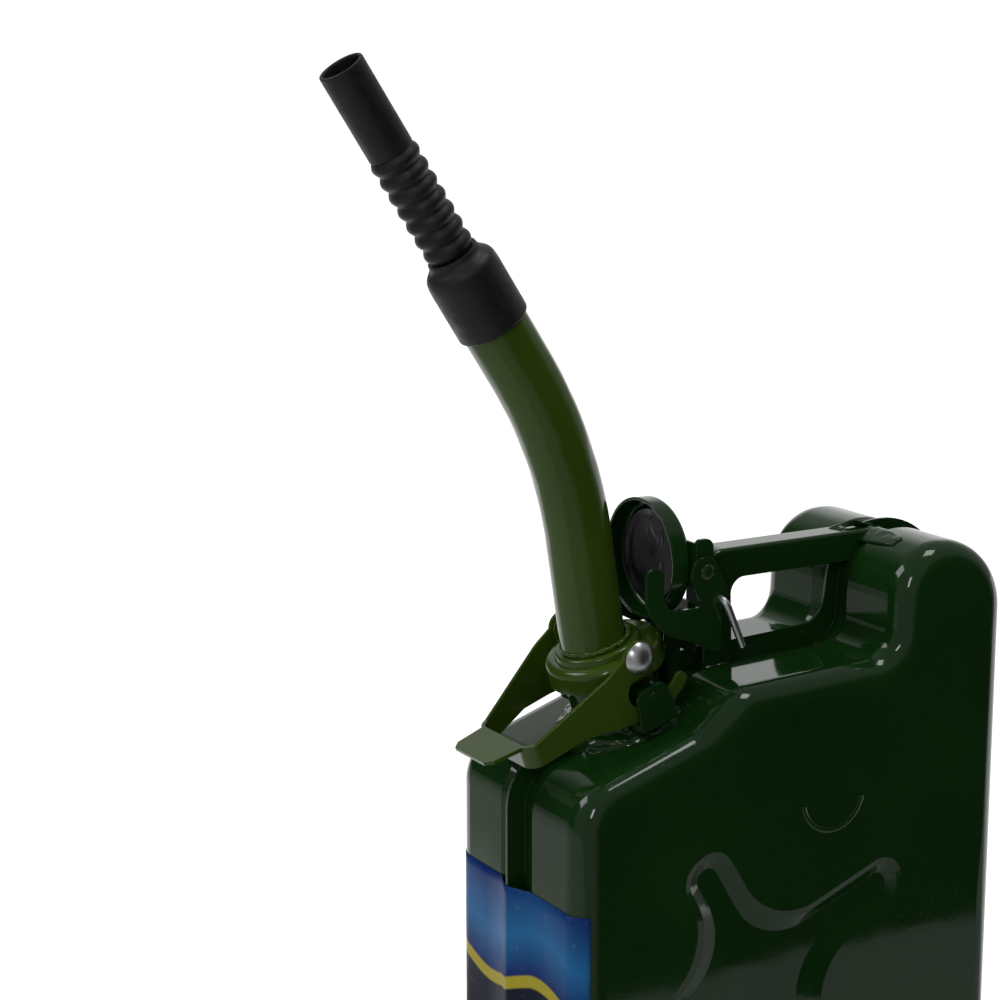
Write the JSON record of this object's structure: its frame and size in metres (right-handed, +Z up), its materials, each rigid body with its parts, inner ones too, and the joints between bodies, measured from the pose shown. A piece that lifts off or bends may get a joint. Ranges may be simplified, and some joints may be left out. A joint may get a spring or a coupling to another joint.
{
  "type": "jerry can",
  "caption": "Flat-sided pressed-steel fuel can with a single top handle, its own cap laid open, and a bent pouring spout with a flexible rubber nozzle clamped on the neck.",
  "frame": {"origin": "centre of the can's footprint, on the surface it stands on, under the seam", "axes": "+X from the pouring end to the rear hump, +Y across the can's thickness, +Z up"},
  "size_m": [0.3928, 0.1312, 0.6382],
  "materials": {
    "green_paint": "gloss",
    "olive_paint": "gloss",
    "black_rubber": "satin",
    "zinc": "bright",
    "label_print": "gloss"
  },
  "bodies": {
    "can": {"body_near": "green_paint", "body_far": "green_paint", "label": "label_print", "handle": "green_paint", "handle_weld": "green_paint", "hinge_bracket": "green_paint", "hinge_pin": "zinc", "neck": "green_paint", "neck_weld": "green_paint", "keeper_far": "green_paint", "keeper_near": "green_paint", "keeper_bars": "green_paint", "breather_tube": "green_paint", "spout_base": "olive_paint", "spout_gasket": "black_rubber", "spout_tube": "olive_paint", "spout_collar": "olive_paint", "spout_weld": "olive_paint", "spout_rivets": "zinc", "nozzle_cuff": "black_rubber", "nozzle_bellows": "black_rubber"},
    "cap": {"cap": "green_paint", "cap_gasket": "black_rubber", "cap_bracket": "green_paint", "cap_rivets": "green_paint"},
    "cap_lever": {"cap_lever": "green_paint"},
    "lock_pin": {"lock_pin": "zinc"},
    "spout_lever": {"spout_lever": "olive_paint"},
    "nozzle_tip": {"nozzle_tip": "black_rubber"}
  },
  "joints": [
    {"name": "cap_hinge", "type": "hinge", "parent": "can", "child": "cap", "pos_m": [-0.048, 0, 0.3315], "axis": [0, 1, 0], "range_deg": [-12, 10]},
    {"name": "cap_lever_pivot", "type": "hinge", "parent": "cap", "child": "cap_lever", "pos_m": [-0.0458, 0, 0.3685], "axis": [0, 1, 0], "range_deg": [-6, 2]},
    {"name": "lock_pin_swing", "type": "hinge", "parent": "cap_lever", "child": "lock_pin", "pos_m": [-0.0376, -0.04, 0.3535], "axis": [0, 1, 0], "range_deg": [-45, 45]},
    {"name": "spout_lever_pivot", "type": "hinge", "parent": "can", "child": "spout_lever", "pos_m": [-0.08789, 0, 0.32769], "axis": [0, 1, 0], "range_deg": [0, 90]},
    {"name": "nozzle_bend", "type": "hinge", "parent": "can", "child": "nozzle_tip", "pos_m": [-0.19383, 0, 0.56537], "axis": [0, 1, 0], "range_deg": [-25, 25], "stiffness_Nm_per_rad": 0.6, "deforming": ["nozzle_bellows"]}
  ]
}
